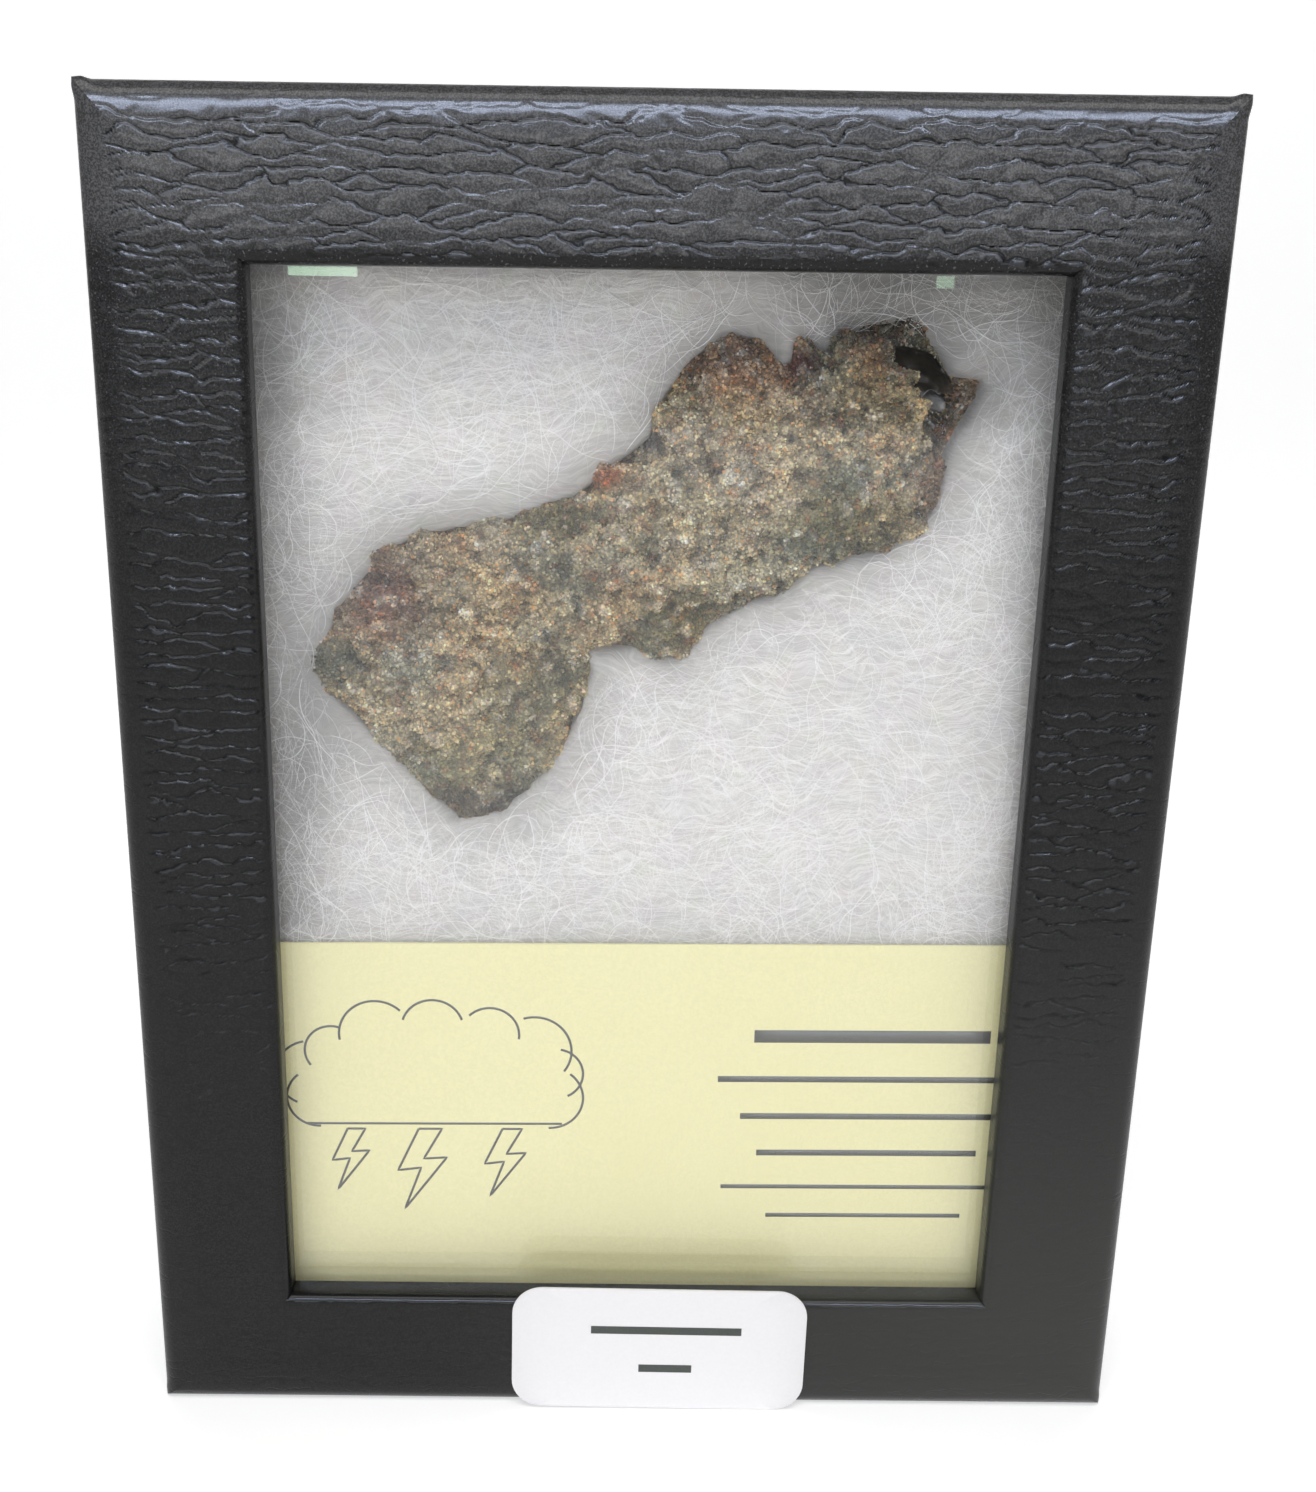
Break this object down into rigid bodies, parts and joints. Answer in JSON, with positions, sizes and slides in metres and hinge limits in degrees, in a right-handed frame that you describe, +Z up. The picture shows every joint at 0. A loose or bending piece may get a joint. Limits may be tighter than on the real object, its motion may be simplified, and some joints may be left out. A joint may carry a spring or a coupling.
{
  "type": "fulgurite specimen in display box",
  "caption": "Crushed tube of sand-crusted lightning glass on batting in a small glass-fronted display box with a card and a plain sticker.",
  "frame": {"origin": "middle of the box's footprint, on the surface it stands on", "axes": "+Z up along the box's height, -Y out of the glass front, +X to the right of someone who looks at the glass"},
  "size_m": [0.0834, 0.0193, 0.1084],
  "materials": {
    "lid_wrap": "black leather-grained paper over board, satin, creased",
    "pane": "clear polished sheet",
    "batting": "white curly fibre batting, matte",
    "card": "pale yellow card, matte, with thin grey line printing",
    "fulgurite": "rough fused sand grains, glassy dark bore",
    "tray_wrap": "black paper over board, matte",
    "sticker": "white label paper, slight sheen"
  },
  "bodies": {
    "root": {"lid_frame": "lid_wrap", "glass_pane": "pane", "fibre_batting": "batting", "label_card": "card", "fulgurite": "fulgurite", "base_tray": "tray_wrap", "price_sticker": "sticker"}
  },
  "joints": []
}
